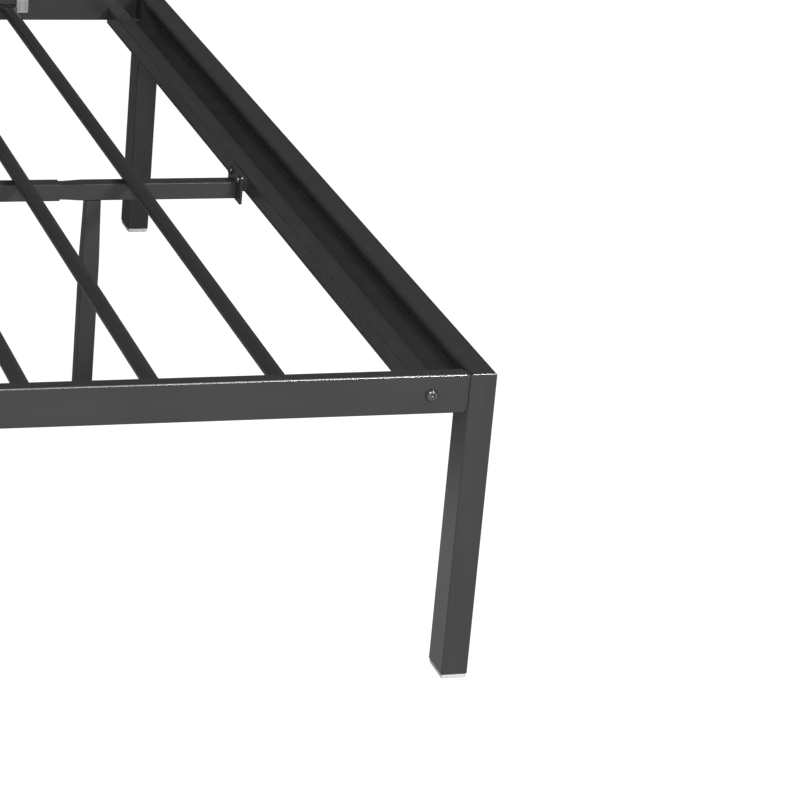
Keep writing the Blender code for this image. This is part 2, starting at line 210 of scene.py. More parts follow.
def powder_coat(name, tone=1.0, rough=COAT_ROUGH, stretch=EVEN, metallic=0.0):
    """Satin black powder coat: a fine orange peel and soft mottling."""
    n = Nodes(name)
    mottle = n.noise(28.0, 3.0, stretch)
    peel = n.noise(520.0, 1.0)
    grain = n.noise(1500.0, 1.0)
    waves = n.noise(9.0, 1.0, stretch)
    dark, light = (tuple(c * tone for c in shade) for shade in (COAT_DARK, COAT_LIGHT))
    coat = n.blend(n.spread(mottle, 0.0, 1.0), dark, light)
    roughness = n.spread(peel, rough[0], rough[1])
    low = n.bump(waves, 0.10, 0.0006)
    skin = n.bump(peel, 0.02, 0.00010, low)
    normal = n.bump(grain, 0.02, 0.00005, skin)
    return n.finish(coat, roughness, normal, metallic, COAT_SPECULAR)


def pale_plastic(name, dark, light):
    """Moulded plastic: faint flow marks, a fine spark texture and a soft sheen."""
    n = Nodes(name)
    flow = n.noise(60.0, 3.0, (1.0, 1.0, 0.3))
    spark = n.noise(1100.0, 2.0)
    colour = n.blend(n.spread(flow, 0.0, 1.0), dark, light)
    roughness = n.spread(spark, 0.42, 0.58)
    return n.finish(colour, roughness, n.bump(spark, 0.12, 0.00008))


def black_steel(name):
    """Blackened bolt steel, brighter where the oxide has rubbed off its edges."""
    n = Nodes(name)
    patch = n.noise(300.0, 3.0)
    scratch = n.noise(900.0, 2.0, (1.0, 0.15, 1.0))
    base = n.blend(n.spread(patch, 0.0, 1.0), (0.09, 0.09, 0.094), (0.16, 0.16, 0.165))
    edges = n.spread(n.add("ShaderNodeNewGeometry").outputs["Pointiness"], 0.0, 0.7, 0.52, 0.62)
    colour = n.blend(edges, base, (0.55, 0.55, 0.56))
    roughness = n.spread(scratch, 0.22, 0.34)
    return n.finish(colour, roughness, n.bump(scratch, 0.08, 0.00005), metallic=0.85)


COAT = {
    "sheet": powder_coat("coat_on_sheet"),
    "rail": powder_coat("coat_on_rails", stretch=ALONG_X),
    "leg": powder_coat("coat_on_legs", stretch=ALONG_Z),
    "slat": powder_coat("coat_on_slats", 0.95, (0.24, 0.30), ALONG_Y),
    "bar": powder_coat("coat_on_centre_bar", stretch=ALONG_X),
    "weld": powder_coat("coat_on_welds", 1.05, (0.34, 0.44)),
}
HIGHLIGHTED_COATS = (COAT["sheet"], COAT["rail"])
# Painted light: a 2.1 times lighter copy of the coat on the channels' insides, standing in for
# light that reaches into them
CHANNEL_PAINTED_LIGHT = powder_coat("painted_light_in_channels", 2.1, (0.36, 0.44))
# Painted highlight: an eight times lighter, part-metallic copy of the coat for the top corners
# along the bed
EDGE_HIGHLIGHT_PAINT = powder_coat("painted_edge_highlights", 8.0, (0.24, 0.30), metallic=0.6)
HIGHLIGHT_INDEX = 1  # of the materials on a piece with painted edge highlights
PAINTED_LIGHT_INDEX = 2
PAD_PLASTIC = pale_plastic("foot_plastic", (0.50, 0.50, 0.49), (0.57, 0.57, 0.56))
CLIP_PLASTIC = pale_plastic("clip_plastic", (0.27, 0.272, 0.275), (0.32, 0.322, 0.326))
BOLT_STEEL = black_steel("black_bolt_steel")


# ---------------------------------------------------------------- mesh tools


def paint_edge_highlights(mesh):
    """Gives the top corners along the bed a painted highlight: a lighter, part-metallic copy of
    the coat on their upward slanted faces.
    """
    mesh.materials.append(EDGE_HIGHLIGHT_PAINT)
    for face in mesh.polygons:
        normal = face.normal
        slanted = 0.60 < max(map(abs, normal)) < 0.90
        if slanted and normal.z > 0.4 and abs(normal.x) < 0.3:
            face.material_index = HIGHLIGHT_INDEX


def piece(name, bm, material, replaced=(), smooth_angle=32.0):
    """Makes one piece of the bed, with flats that shade flat and bends that shade round."""
    bmesh.ops.recalc_face_normals(bm, faces=bm.faces)
    mesh = bpy.data.meshes.new(name)
    bm.to_mesh(mesh)
    bm.free()
    mesh.shade_smooth()
    mesh.set_sharp_from_angle(angle=math.radians(smooth_angle))
    mesh.materials.append(material)
    if material in HIGHLIGHTED_COATS:
        paint_edge_highlights(mesh)
    obj = bpy.data.objects.new(name, mesh)
    bpy.context.scene.collection.objects.link(obj)
    weighted = obj.modifiers.new("flat faces", "WEIGHTED_NORMAL")
    weighted.keep_sharp = True
    weighted.weight = 100
    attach(obj, "root")
    if replaced:
        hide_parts(*replaced)
    return obj


def ring_points(width, height, radius, steps, rise=0.0):
    """Points around a rounded rectangle, just outside its corner arcs to keep its flats true."""
    step = math.pi / 2 / steps
    reach = radius / math.cos(step / 2)
    points = []
    for corner in range(4):
        side = 1 if corner in (0, 3) else -1
        level = 1 if corner < 2 else -1
        x, y = side * (width / 2 - radius), level * (height / 2 - radius) + rise
        for i in range(steps):
            angle = corner * math.pi / 2 + (i + 0.5) * step
            points.append((x + reach * math.cos(angle), y + reach * math.sin(angle)))
    return points


def lay(bm, points, axis, along, origin):
    """A ring of vertices across an axis."""
    verts = []
    for x, y in points:
        local = {"X": (along, x, y), "Y": (x, along, y), "Z": (x, y, along)}[axis]
        verts.append(bm.verts.new(Vector(origin) + Vector(local)))
    return verts


def bridge(bm, first, second):
    """Joins two rings with faces."""
    for i, vert in enumerate(first):
        after = (i + 1) % len(first)
        bm.faces.new((vert, first[after], second[after], second[i]))


def chain(bm, rings):
    """Joins each ring to the next."""
    for first, second in zip(rings, rings[1:]):
        bridge(bm, first, second)


def broken(sections, edge):
    """Adds a small chamfer at both ends of a run of (along, width, height, radius, rise)."""
    first, last = sections[0], sections[-1]
    way = 1 if last[0] > first[0] else -1

    def shaved(s, along):
        return (along, s[1] - 2 * edge, s[2] - 2 * edge, max(s[3] - edge, edge), s[4])

    start = [shaved(first, first[0]), (first[0] + way * edge, *first[1:])]
    end = [(last[0] - way * edge, *last[1:]), shaved(last, last[0])]
    return start + list(sections[1:-1]) + end


def hollow(sections, wall):
    """The sections of a tube's bore."""
    inner = []
    for along, width, height, radius, rise in sections:
        w, h = width - 2 * wall, height - 2 * wall
        inner.append((along, w, h, max(min(radius - wall, w / 2, h / 2), LEAST_RADIUS), rise))
    return inner


def lay_all(bm, sections, axis, origin, steps):
    """A ring of vertices for each section."""
    return [lay(bm, ring_points(*s[1:4], steps, s[4]), axis, s[0], origin) for s in sections]


def tube_mesh(axis, origin, sections, wall, steps=CORNER_STEPS, edge=EDGE):
    """A tube with broken edges, through sections along an axis."""
    bm = bmesh.new()
    outer = lay_all(bm, broken(sections, edge), axis, origin, steps)
    inner = lay_all(bm, hollow(sections, wall), axis, origin, steps)
    chain(bm, outer)
    chain(bm, inner)
    bridge(bm, outer[0], inner[0])
    bridge(bm, outer[-1], inner[-1])
    return bm


def solid_mesh(axis, origin, sections, steps=CORNER_STEPS, edge=EDGE):
    """A solid plate with broken edges."""
    bm = bmesh.new()
    rings = lay_all(bm, broken(sections, edge), axis, origin, steps)
    chain(bm, rings)
    bm.faces.new(rings[0])
    bm.faces.new(rings[-1])
    return bm


def box_into(bm, corner, opposite):
    """Adds a plain box, for a cutter or a joined block, between two corners."""
    low = Vector(map(min, corner, opposite))
    high = Vector(map(max, corner, opposite))
    place = Matrix.LocRotScale((low + high) / 2, None, high - low)
    bmesh.ops.create_cube(bm, size=1.0, matrix=place)


def carved(bm, cutter, operation="DIFFERENCE"):
    """Cuts one bmesh out of another, or joins it on, and returns the result."""
    made = []
    for source in (bm, cutter):
        bmesh.ops.recalc_face_normals(source, faces=source.faces)
        mesh = bpy.data.meshes.new("carving")
        source.to_mesh(mesh)
        source.free()
        obj = bpy.data.objects.new("carving", mesh)
        bpy.context.scene.collection.objects.link(obj)
        made.append(obj)
    body, tool = made
    modifier = body.modifiers.new("cut", "BOOLEAN")
    modifier.operation = operation
    modifier.solver = "EXACT"
    modifier.object = tool
    bpy.context.view_layer.update()
    result = bmesh.new()
    result.from_object(body, bpy.context.evaluated_depsgraph_get())
    for obj in made:
        mesh = obj.data
        bpy.data.objects.remove(obj)
        bpy.data.meshes.remove(mesh)
    return result


def ease(t):
    """A smooth step from 0 to 1."""
    return t * t * (3 - 2 * t)


# ---------------------------------------------------------------- bent sheet


def sheet_outline(path, thickness, bend):
    """The closed outline of a sheet bent at right angles along a path."""
    left, right = [], []
    for i, point in enumerate(path):
        if i in (0, len(path) - 1):
            line = (path[1] - path[0]) if i == 0 else (path[-1] - path[-2])
            side = Vector((-line.y, line.x)).normalized() * thickness / 2
            left.append(point + side)
            right.append(point - side)
            continue
        before = (point - path[i - 1]).normalized()
        after = (path[i + 1] - point).normalized()
        middle = point - before * bend + after * bend
        near, far = (left, right) if before.cross(after) > 0 else (right, left)
        for k in range(BEND_STEPS + 1):
            angle = k / BEND_STEPS * math.pi / 2
            outward = before * math.sin(angle) - after * math.cos(angle)
            near.append(middle + outward * (bend - thickness / 2))
            far.append(middle + outward * (bend + thickness / 2))
    return left + right[::-1]


def end_point(end, inset, y, drop):
    """A point of an end, from its distance inside the end's face and below the frame's top."""
    return Vector((ENDS[end] * (END_X - inset), y, TOP_Z - drop))


def sheet_mesh(end, path, half_width):
    """A bent sheet across the bed, from its path in inset and drop."""
    bm = bmesh.new()
    outline = sheet_outline([Vector(p) for p in path], SHEET, BEND)
    rings = []
    for y in (-half_width, half_width):
        rings.append([bm.verts.new(end_point(end, p.x, y, p.y)) for p in outline])
    bridge(bm, *rings)
    bm.faces.new(rings[0])
    bm.faces.new(rings[1])
    return bm


def make_end_channel(end):
    """The end channel, cut away around the legs and the side rails."""
    lip = FLANGE_WIDTH - SHEET / 2
    path = (
        (lip, RETURN_DROP),
        (lip, SHEET / 2),
        (SHEET / 2, SHEET / 2),
        (SHEET / 2, FLOOR_DROP + SHEET / 2),
        (FLOOR_WIDTH, FLOOR_DROP + SHEET / 2),
    )
    leg_low, leg_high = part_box(f"{end}_far_corner_leg")
    leg_width = leg_high.x - leg_low.x
    rooms = bmesh.new()
    for sign in SIDES.values():
        outside = sign * (SIDE_Y + BEYOND)
        box_into(
            rooms,
            end_point(end, -BEYOND, sign * (leg_low.y - GAP), SHEET),
            end_point(end, leg_width + GAP, outside, FLOOR_DROP + BEYOND),
        )
    channel = carved(sheet_mesh(end, path, SIDE_Y), rooms)
    rooms = bmesh.new()
    for sign in SIDES.values():
        outside = sign * (SIDE_Y + BEYOND)
        box_into(
            rooms,
            end_point(end, leg_width, sign * (RAIL_FACE_Y - GAP), RETURN_DROP + BEYOND),
            end_point(end, FLOOR_WIDTH + BEYOND, outside, FLOOR_DROP + BEYOND),
        )
    channel = carved(channel, rooms)
    round_flange_ends(channel)
    node = f"{end}_end_channel"
    made = piece(f"fine_{node}", channel, COAT["sheet"], [node])
    paint_light_inside(made.data, ENDS[end])


def paint_light_inside(mesh, way):
    """Gives a channel's inside, below its turned-down lip, a paler copy of the coat: painted light
    in the recess.
    """
    mesh.materials.append(CHANNEL_PAINTED_LIGHT)
    for face in mesh.polygons:
        inward = max(face.normal.z, -way * face.normal.x) > 0.5
        if inward and face.center.z < TOP_Z - 1.2 * RETURN_DROP:
            face.material_index = PAINTED_LIGHT_INDEX


def round_flange_ends(bm):
    """Rounds the flange's top edge over each leg, as a ground corner is."""
    reach = 0.0001

    def on_edge(vert):
        return abs(abs(vert.co.y) - SIDE_Y) < reach and abs(vert.co.z - TOP_Z) < reach

    edges = [edge for edge in bm.edges if all(on_edge(vert) for vert in edge.verts)]
    bmesh.ops.bevel(
        bm,
        geom=edges,
        offset=FLANGE_END_ROUND,
        offset_type="OFFSET",
        segments=4,
        profile=0.5,
        affect="EDGES",
    )


def make_inner_tube(end):
    """The tube on the channel's floor, with the boss that the hanger bolts to."""
    node = f"{end}_inner_tube"
    low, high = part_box(node)
    plate_low, plate_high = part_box(f"{end}_bar_hanger")
    way = ENDS[end]
    face = END_X - FLOOR_WIDTH
    width = FLOOR_WIDTH - TUBE_INSET
    height = high.z - low.z
    middle = (way * (face + width / 2), 0, (low.z + high.z) / 2)
    sections = [(y, width, height, INNER_TUBE_RADIUS, 0.0) for y in (low.y, high.y)]
    back = min(abs(plate_low.x), abs(plate_high.x)) + (plate_high.x - plate_low.x) + GAP
    boss = bmesh.new()
    box_into(
        boss,
        (way * back, -BOSS_WIDTH / 2, low.z + BOSS_MARGIN),
        (way * (face + TUBE_WALL / 2), BOSS_WIDTH / 2, high.z - BOSS_MARGIN),
    )
    tube = carved(tube_mesh("Y", middle, sections, TUBE_WALL), boss, "UNION")
    piece(f"fine_{node}", tube, COAT["sheet"], [node])


# ---------------------------------------------------------------- tubes


def make_corner_leg(end, side):
    node = f"{end}_{side}_corner_leg"
    low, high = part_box(node)
    size, centre = high - low, (low + high) / 2
    sections = [(z, size.x, size.y, LEG_RADIUS, 0.0) for z in (low.z, high.z)]
    bm = tube_mesh("Z", (centre.x, centre.y, 0), sections, LEG_WALL)
    piece(f"fine_{node}", bm, COAT["leg"], [node])


def slat_names():
    return sorted(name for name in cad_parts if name.startswith("slat_"))


def slat_x(name):
    low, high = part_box(name)
    return (low.x + high.x) / 2


def tab_level():
    """The height of the slats' flat ends."""
    low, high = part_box("slat_07")
    return (low.z + high.z) / 2 + TAB_RISE


def add_tab_slots(bm, xs, sign):
    """Cutters for the slots that the slats' flat ends pass through."""
    half_x, half_z = TAB_WIDTH / 2 + SLOT_PLAY, TAB_THICK / 2 + SLOT_PLAY
    z = tab_level()
    for x in xs:
        box_into(
            bm,
            (x - half_x, sign * (RAIL_FACE_Y - 0.006), z - half_z),
            (x + half_x, sign * (RAIL_FACE_Y + 0.004), z + half_z),
        )


def make_side_rail(end, side):
    """Half a side rail, with slots for the slats' flat ends."""
    node = f"{end}_{side}_side_rail"
    low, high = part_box(node)
    size, centre = high - low, (low + high) / 2
    sections = [(x, size.y, size.z, RAIL_RADIUS, 0.0) for x in (low.x, high.x)]
    rail = tube_mesh("X", (0, centre.y, centre.z), sections, TUBE_WALL)
    slots = bmesh.new()
    xs = [slat_x(name) for name in slat_names() if low.x < slat_x(name) < high.x]
    add_tab_slots(slots, xs, SIDES[side])
    rail = carved(rail, slots)
    piece(f"fine_{node}", rail, COAT["rail"], [node])


def coat_stub(end, side):
    """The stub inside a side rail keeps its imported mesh, under the rail's coat."""
    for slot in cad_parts[f"{end}_{side}_rail_stub"].material_slots:
        slot.material = COAT["rail"]


def make_slat(name):
    """A round tube whose ends are pressed flat in an eased transition."""
    low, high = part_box(name)
    z, diameter = (low.z + high.z) / 2, high.z - low.z
    reach = high.y
    blend_start, blend_end = RAIL_FACE_Y - TAB_BLEND, RAIL_FACE_Y - TAB_FLAT
    half = []
    for i in range(SLAT_STEPS + 1):
        t = i / SLAT_STEPS
        e = ease(t)
        width = diameter + (TAB_WIDTH - diameter) * e
        height = diameter + (TAB_THICK - diameter) * e
        y = blend_start + (blend_end - blend_start) * t
        half.append((y, width, height, min(width, height) / 2 * 0.999, TAB_RISE * e))
    half.append((reach, TAB_WIDTH, TAB_THICK, TAB_THICK / 2 * 0.999, TAB_RISE))
    mirrored = [(-s[0], *s[1:]) for s in reversed(half)]
    run = mirrored + half
    bm = tube_mesh("Y", (slat_x(name), 0, z), run, SLAT_WALL, ROUND_STEPS, SLAT_EDGE)
    piece(f"fine_{name}", bm, COAT["slat"], [name])


def make_centre_bar():
    """The bar's middle tube, and the end tubes whose drawn-down plugs slide into it."""
    low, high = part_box("centre_bar_middle")
    size, centre = high - low, (low + high) / 2
    joint = high.x
    sections = [(x, size.y, size.z, BAR_RADIUS, 0.0) for x in (low.x, high.x)]
    bm = tube_mesh("X", (0, centre.y, centre.z), sections, TUBE_WALL)
    piece("fine_centre_bar_middle", bm, COAT["bar"], ["centre_bar_middle"])
    for end, way in ENDS.items():
        node = f"centre_bar_{end}"
        low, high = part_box(node)
        size = high - low
        plug_end, bar_end = (low.x, high.x) if way > 0 else (high.x, low.x)
        start = way * (joint + GAP)
        sections = [(plug_end, *BAR_PLUG, 0.0), (start, *BAR_PLUG, 0.0)]
        full = (size.y, size.z, BAR_RADIUS)
        for i in range(1, SWAGE_STEPS + 1):
            t = i / SWAGE_STEPS
            e = ease(t)
            shape = [a + (b - a) * e for a, b in zip(BAR_PLUG, full)]
            sections.append((start + way * BAR_SWAGE * t, *shape, 0.0))
        sections.append((bar_end, size.y, size.z, BAR_RADIUS, 0.0))
        bm = tube_mesh("X", (0, centre.y, centre.z), sections, TUBE_WALL)
        piece(f"fine_{node}", bm, COAT["bar"], [node])


def make_centre_leg(node):
    """A square tube, drawn in towards the bar."""
    low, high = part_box(node)
    width, centre = high.x - low.x, (low + high) / 2
    foot = (width, width, CENTRE_LEG_RADIUS)
    top = (CENTRE_LEG_TOP, CENTRE_LEG_TOP, CENTRE_LEG_RADIUS)
    sections = [(low.z, *foot, 0.0)]
    for i in range(SWAGE_STEPS + 1):
        t = i / SWAGE_STEPS
        shape = [a + (b - a) * (0.35 * ease(t) + 0.65 * t) for a, b in zip(foot, top)]
        sections.append((high.z - CENTRE_LEG_TAPER * (1 - t), *shape, 0.0))
    bm = tube_mesh("Z", (centre.x, centre.y, 0), sections, TUBE_WALL)
    piece(f"fine_{node}", bm, COAT["leg"], [node])


def make_middle_leg(side):
    """A blind tube under a side rail's joint, with a plate across its top."""
    node = f"{side}_middle_leg"
    low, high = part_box(node)
    foot_low, foot_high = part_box(f"{side}_middle_pad")
    centre = (low + high) / 2
    origin = (centre.x, centre.y, 0)
    length, depth = high.x - low.x, high.y - low.y
    width = foot_high.x - foot_low.x + 2 * PAD_INSET
    plate_z = high.z - MIDDLE_PLATE
    outer = [(z, width, depth - 2 * GAP, LEG_RADIUS, 0.0) for z in (low.z, plate_z)]
    for z, shave in ((plate_z, EDGE), (plate_z + EDGE, 0), (high.z - EDGE, 0), (high.z, EDGE)):
        size = length - 2 * shave, depth - 2 * shave
        outer.append((z, *size, MIDDLE_PLATE_RADIUS, 0.0))
    bore_size = width - 2 * LEG_WALL, depth - 2 * LEG_WALL, 0.001
    bore = [(z, *bore_size, 0.0) for z in (low.z, plate_z - GAP)]
    bm = bmesh.new()
    outside = lay_all(bm, outer, "Z", origin, CORNER_STEPS)
    inside = lay_all(bm, bore, "Z", origin, CORNER_STEPS)
    chain(bm, outside)
    chain(bm, inside)
    bridge(bm, outside[0], inside[0])
    bm.faces.new(outside[-1])
    bm.faces.new(inside[-1])
    piece(f"fine_{node}", bm, COAT["leg"], [node])


def make_pad(node):
    """A moulded foot: a pad with a rounded tread and a soft shoulder, and its plug in the tube."""
    low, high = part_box(node)
    size, centre = high - low, (low + high) / 2
    width, depth = size.x, size.y
    wall = LEG_WALL if width > 0.024 else TUBE_WALL
    plug = PAD_INSET - wall - GAP
    profile = (  # height, and how much the outline grows
        (0.0, -0.0011),
        (0.0003, -0.0005),
        (0.0009, -0.0001),
        (0.0016, 0.0),
        (PAD_HEIGHT - 0.0008, 0.0),
        (PAD_HEIGHT - 0.0003, -0.0002),
        (PAD_HEIGHT, -0.0006),
        (PAD_HEIGHT, plug),
        (high.z - 0.001, plug),
        (high.z, plug - 0.0006),
    )
    bm = bmesh.new()
    rings = []
    for z, grow in profile:
        radius = max(PAD_CORNER + grow, 0.0006)
        points = ring_points(width + 2 * grow, depth + 2 * grow, radius, CORNER_STEPS)
        rings.append(lay(bm, points, "Z", z, (centre.x, centre.y, 0)))
    chain(bm, rings)
    bm.faces.new(rings[0])
    bm.faces.new(rings[-1])
    piece(f"fine_{node}", bm, PAD_PLASTIC, [node])


# ---------------------------------------------------------------- plates, bolts, clips and welds


def make_hanger(end):
    """The plate that the centre bar's end is welded to."""
    node = f"{end}_bar_hanger"
    low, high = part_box(node)
    size, centre = high - low, (low + high) / 2
    sections = [(x, size.y, size.z, HANGER_RADIUS, 0.0) for x in (low.x, high.x)]
    bm = solid_mesh("X", (0, centre.y, centre.z), sections, edge=PLATE_EDGE)
    piece(f"fine_{node}", bm, COAT["sheet"], [node])


def make_joint_plate(side):
    """The plate inside a side rail's joint, with its four screws."""
    node = f"{side}_rail_joint_plate"
    low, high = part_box(node)
    size, centre = high - low, (low + high) / 2
    sections = [(y, size.x, size.z, JOINT_PLATE_RADIUS, 0.0) for y in (low.y, high.y)]
    bm = solid_mesh("Y", (centre.x, 0, centre.z), sections, edge=PLATE_EDGE)
    slot = bmesh.new()
    add_tab_slots(slot, [0.0], SIDES[side])
    piece(f"fine_{node}", carved(bm, slot), COAT["sheet"], [node])
    seat_y = high.y if SIDES[side] < 0 else low.y
    inward = Vector((0, -SIDES[side], 0))
    for i, x in enumerate(JOINT_SCREW_XS):
        seat = Vector((x, seat_y, centre.z - 0.004)) + inward * 0.0001
        bm = bolt_mesh(seat, inward, JOINT_SCREW_RADIUS, *JOINT_SCREW)
        piece(f"{side}_joint_screw_{i + 1}", bm, BOLT_STEEL)


def bolt_mesh(seat, outward, radius, height, socket, depth):
    """A button head with a hexagon socket, a chamfered rim and a shank stub."""
    bm = bmesh.new()
    turn = outward.to_track_quat("Z", "Y").to_matrix().to_4x4()
    place = Matrix.Translation(seat) @ turn
    sixth = math.pi / 3

    def ring(r, z, six_sided=False):
        verts = []
        for i in range(BOLT_SIDES):
            angle = i / BOLT_SIDES * math.tau
            reach = r
            if six_sided:
                local = (angle + sixth / 2) % sixth - sixth / 2
                reach = r * math.cos(sixth / 2) / math.cos(local)
            point = Vector((reach * math.cos(angle), reach * math.sin(angle), z))
            verts.append(bm.verts.new(place @ point))
        return verts

    rings = [
        ring(socket * 0.25, height - depth - socket * 0.3),
        ring(socket * 0.86, height - depth, True),
        ring(socket, height - depth * 0.85, True),
        ring(socket, height - 0.0003, True),
        ring(socket * 1.12, height, True),
    ]
    for k in range(DOME_STEPS):
        angle = (0.10 + 0.90 * k / (DOME_STEPS - 1)) * math.pi / 2
        across = radius * (0.42 + 0.58 * math.sin(angle))
        rings.append(ring(across, height * (0.12 + 0.88 * math.cos(angle))))
    rings.append(ring(radius, 0.0003))
    rings.append(ring(radius - 0.0003, 0.0))
    rings.append(ring(radius * 0.55, 0.0))
    rings.append(ring(radius * 0.55, -0.004))
    chain(bm, rings)
    bm.faces.new(rings[0])
    bm.faces.new(rings[-1])
    return bm


def make_bolts():
    """The bolts of the corners, and of the centre bar's hangers."""
    for end, side in CORNERS:
        node = f"{end}_{side}_corner_bolt"
        low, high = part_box(node)
        centre, sign = (low + high) / 2, SIDES[side]
        seat = Vector((centre.x, sign * (SIDE_Y + GAP), centre.z))
        outward = Vector((0, sign, 0))
        bm = bolt_mesh(seat, outward, (high.x - low.x) / 2, *CORNER_BOLT)
        piece(f"fine_{node}", bm, BOLT_STEEL, [node])
        node = f"{end}_{side}_hanger_bolt"
        low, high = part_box(node)
        centre, way = (low + high) / 2, ENDS[end]
        plate_low, plate_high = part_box(f"{end}_bar_hanger")
        face = plate_low.x if way > 0 else plate_high.x
        seat = Vector((face - way * GAP, centre.y, centre.z))
        outward = Vector((-way, 0, 0))
        bm = bolt_mesh(seat, outward, (high.y - low.y) / 2, *HANGER_BOLT)
        piece(f"fine_{node}", bm, BOLT_STEEL, [node])


def make_clip(name, x, way, side):
    """The moulded clip beside a slat's flat end: a rounded block with two grooves."""
    sign = SIDES[side]
    face = RAIL_FACE_Y - 0.0002
    z = TOP_Z - CLIP_DROP
    centre_x = x + way * CLIP_OFFSET
    bm = bmesh.new()
    rings = []
    for depth, grow in ((0.0, 0.0), (0.0034, 0.0), (0.0044, -0.0004), (0.0050, -0.0013)):
        size = CLIP_WIDTH + 2 * grow, CLIP_HEIGHT + 2 * grow
        points = ring_points(*size, CLIP_CORNER + grow, CORNER_STEPS)
        rings.append(lay(bm, points, "Y", sign * (face - depth), (centre_x, 0, z)))
    chain(bm, rings)
    bm.faces.new(rings[0])
    bm.faces.new(rings[-1])
    grooves = bmesh.new()
    half_x, half_z = CLIP_SLOT[0] / 2, CLIP_SLOT[1] / 2
    for groove_x in (centre_x - CLIP_SLOT_OFFSET, centre_x + CLIP_SLOT_OFFSET):
        box_into(
            grooves,
            (groove_x - half_x, sign * (face - 0.0036), z - half_z),
            (groove_x + half_x, sign * (face - 0.0070), z + half_z),
        )
    piece(name, carved(bm, grooves), CLIP_PLASTIC)


def make_clips():
    """A clip at both ends of every slat but the middle one, on the side of the nearer bed end."""
    for name in slat_names():
        x = slat_x(name)
        if abs(x) < 0.01:
            continue
        for side in SIDES:
            make_clip(f"{name}_{side}_clip", x, 1 if x > 0 else -1, side)


def weld_bead(name, start, end, radius):
    """A rippled weld bead under the coat, laid as overlapping scales."""
    bm = bmesh.new()
    line = end - start
    count = max(int(line.length / WELD_STEP), 8)
    turn = line.to_track_quat("Z", "Y").to_matrix()
    rings = []
    for i in range(count + 1):
        t = i / count
        taper = min(1.0, 6 * t + 0.25, 6 * (1 - t) + 0.25)
        ripple = 1 + 0.10 * math.cos(t * count * math.tau / 3)
        r = radius * taper * ripple
        ring = []
        for k in range(WELD_SIDES):
            angle = k / WELD_SIDES * math.tau
            across = turn @ Vector((r * math.cos(angle), r * math.sin(angle), 0))
            ring.append(bm.verts.new(start + line * t + across))
        rings.append(ring)
    chain(bm, rings)
    bm.faces.new(rings[0])
    bm.faces.new(rings[-1])
    piece(name, bm, COAT["weld"], smooth_angle=60.0)


def make_welds():
    """Beads between the legs and the end channels, and along the inner tubes."""
    for end, side in CORNERS:
        sign = SIDES[side]
        leg_low, leg_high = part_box(f"{end}_{side}_corner_leg")
        leg_face = leg_low.y if sign > 0 else leg_high.y
        y = leg_face - sign * 0.0002
        leg_width = leg_high.x - leg_low.x
        web_inset = 0.0022
        weld_bead(
            f"{end}_{side}_web_weld",
            end_point(end, web_inset, y, 0.006),
            end_point(end, web_inset, y, FLOOR_DROP - 0.003),
            WELD_RADIUS,
        )
        under_drop = FLOOR_DROP + SHEET + 0.0003
        weld_bead(
            f"{end}_{side}_floor_weld",
            end_point(end, 0.006, y, under_drop),
            end_point(end, leg_width - 0.003, y, under_drop),
            WELD_RADIUS,
        )
    for end in ENDS:
        for i, y in enumerate(TUBE_WELD_YS):
            inset, drop = TUBE_INSET - 0.0004, FLOOR_DROP - 0.0006
            weld_bead(
                f"{end}_tube_weld_{i + 1}",
                end_point(end, inset, y - TUBE_WELD_HALF, drop),
                end_point(end, inset, y + TUBE_WELD_HALF, drop),
                TUBE_WELD_RADIUS,
            )


# ---------------------------------------------------------------- set and light


FLOOR_TONE = 0.30
FLOOR_FRONT = 0.31  # a painted pool of light: the floor's own glow at the near side, as the bed's coat mirrors it
FLOOR_UNDER = 0.0  # and from the middle of the bed on
FLOOR_FADE = (-0.35, 0.0)  # where it falls from one to the other, along Y
FLOOR_SEEN = 0.92  # what the camera sees of it
FLOOR_REACH = 60.0


def make_floor():
    """A white studio floor, lit from within like a light table to keep the shadows faint, with a
    painted pool of light: its glow is strongest at the near side and gone under the bed.
    """
    bm = bmesh.new()
    bmesh.ops.create_grid(bm, x_segments=4, y_segments=4, size=FLOOR_REACH)
    mesh = bpy.data.meshes.new("studio_floor")
    bm.to_mesh(mesh)
    bm.free()
    n = Nodes("floor_white")
    n.shader.inputs["Base Color"].default_value = (FLOOR_TONE, FLOOR_TONE, FLOOR_TONE, 1.0)
    n.shader.inputs["Roughness"].default_value = 1.0
    n.shader.inputs["Specular IOR Level"].default_value = 0.0
    n.shader.inputs["Emission Color"].default_value = (1.0, 1.0, 1.0, 1.0)
    split = n.add("ShaderNodeSeparateXYZ")
    n.wire(n.place, split.inputs["Vector"])
    # painted pool of light: the glow falls along Y from the near side to none under the bed
    painted_light_pool = n.spread(split.outputs["Y"], FLOOR_FRONT, FLOOR_UNDER, *FLOOR_FADE)
    lit = n.add("ShaderNodeMapRange")
    n.wire(n.add("ShaderNodeLightPath").outputs["Is Camera Ray"], lit.inputs["Value"])
    n.wire(painted_light_pool, lit.inputs["To Min"])
    lit.inputs["To Max"].default_value = FLOOR_SEEN
    n.wire(lit.outputs["Result"], n.shader.inputs["Emission Strength"])
    mesh.materials.append(n.material)
    floor = bpy.data.objects.new("studio_floor", mesh)
    floor.location.z = -GAP
    bpy.context.scene.collection.objects.link(floor)


# Each light's place, size and power, all aimed at the near half of the foot end
LIGHTS = {
    "key": ((3.66, -6.20, 3.85), 0.8, 340.0),
    "overhead": ((2.2, -2.2, 4.0), 1.2, 20.0),
    "fill": ((-0.9, -4.9, 3.1), 1.4, 245.0),
}
LIGHTS_AIM = (0.9, -0.4, 0.3)


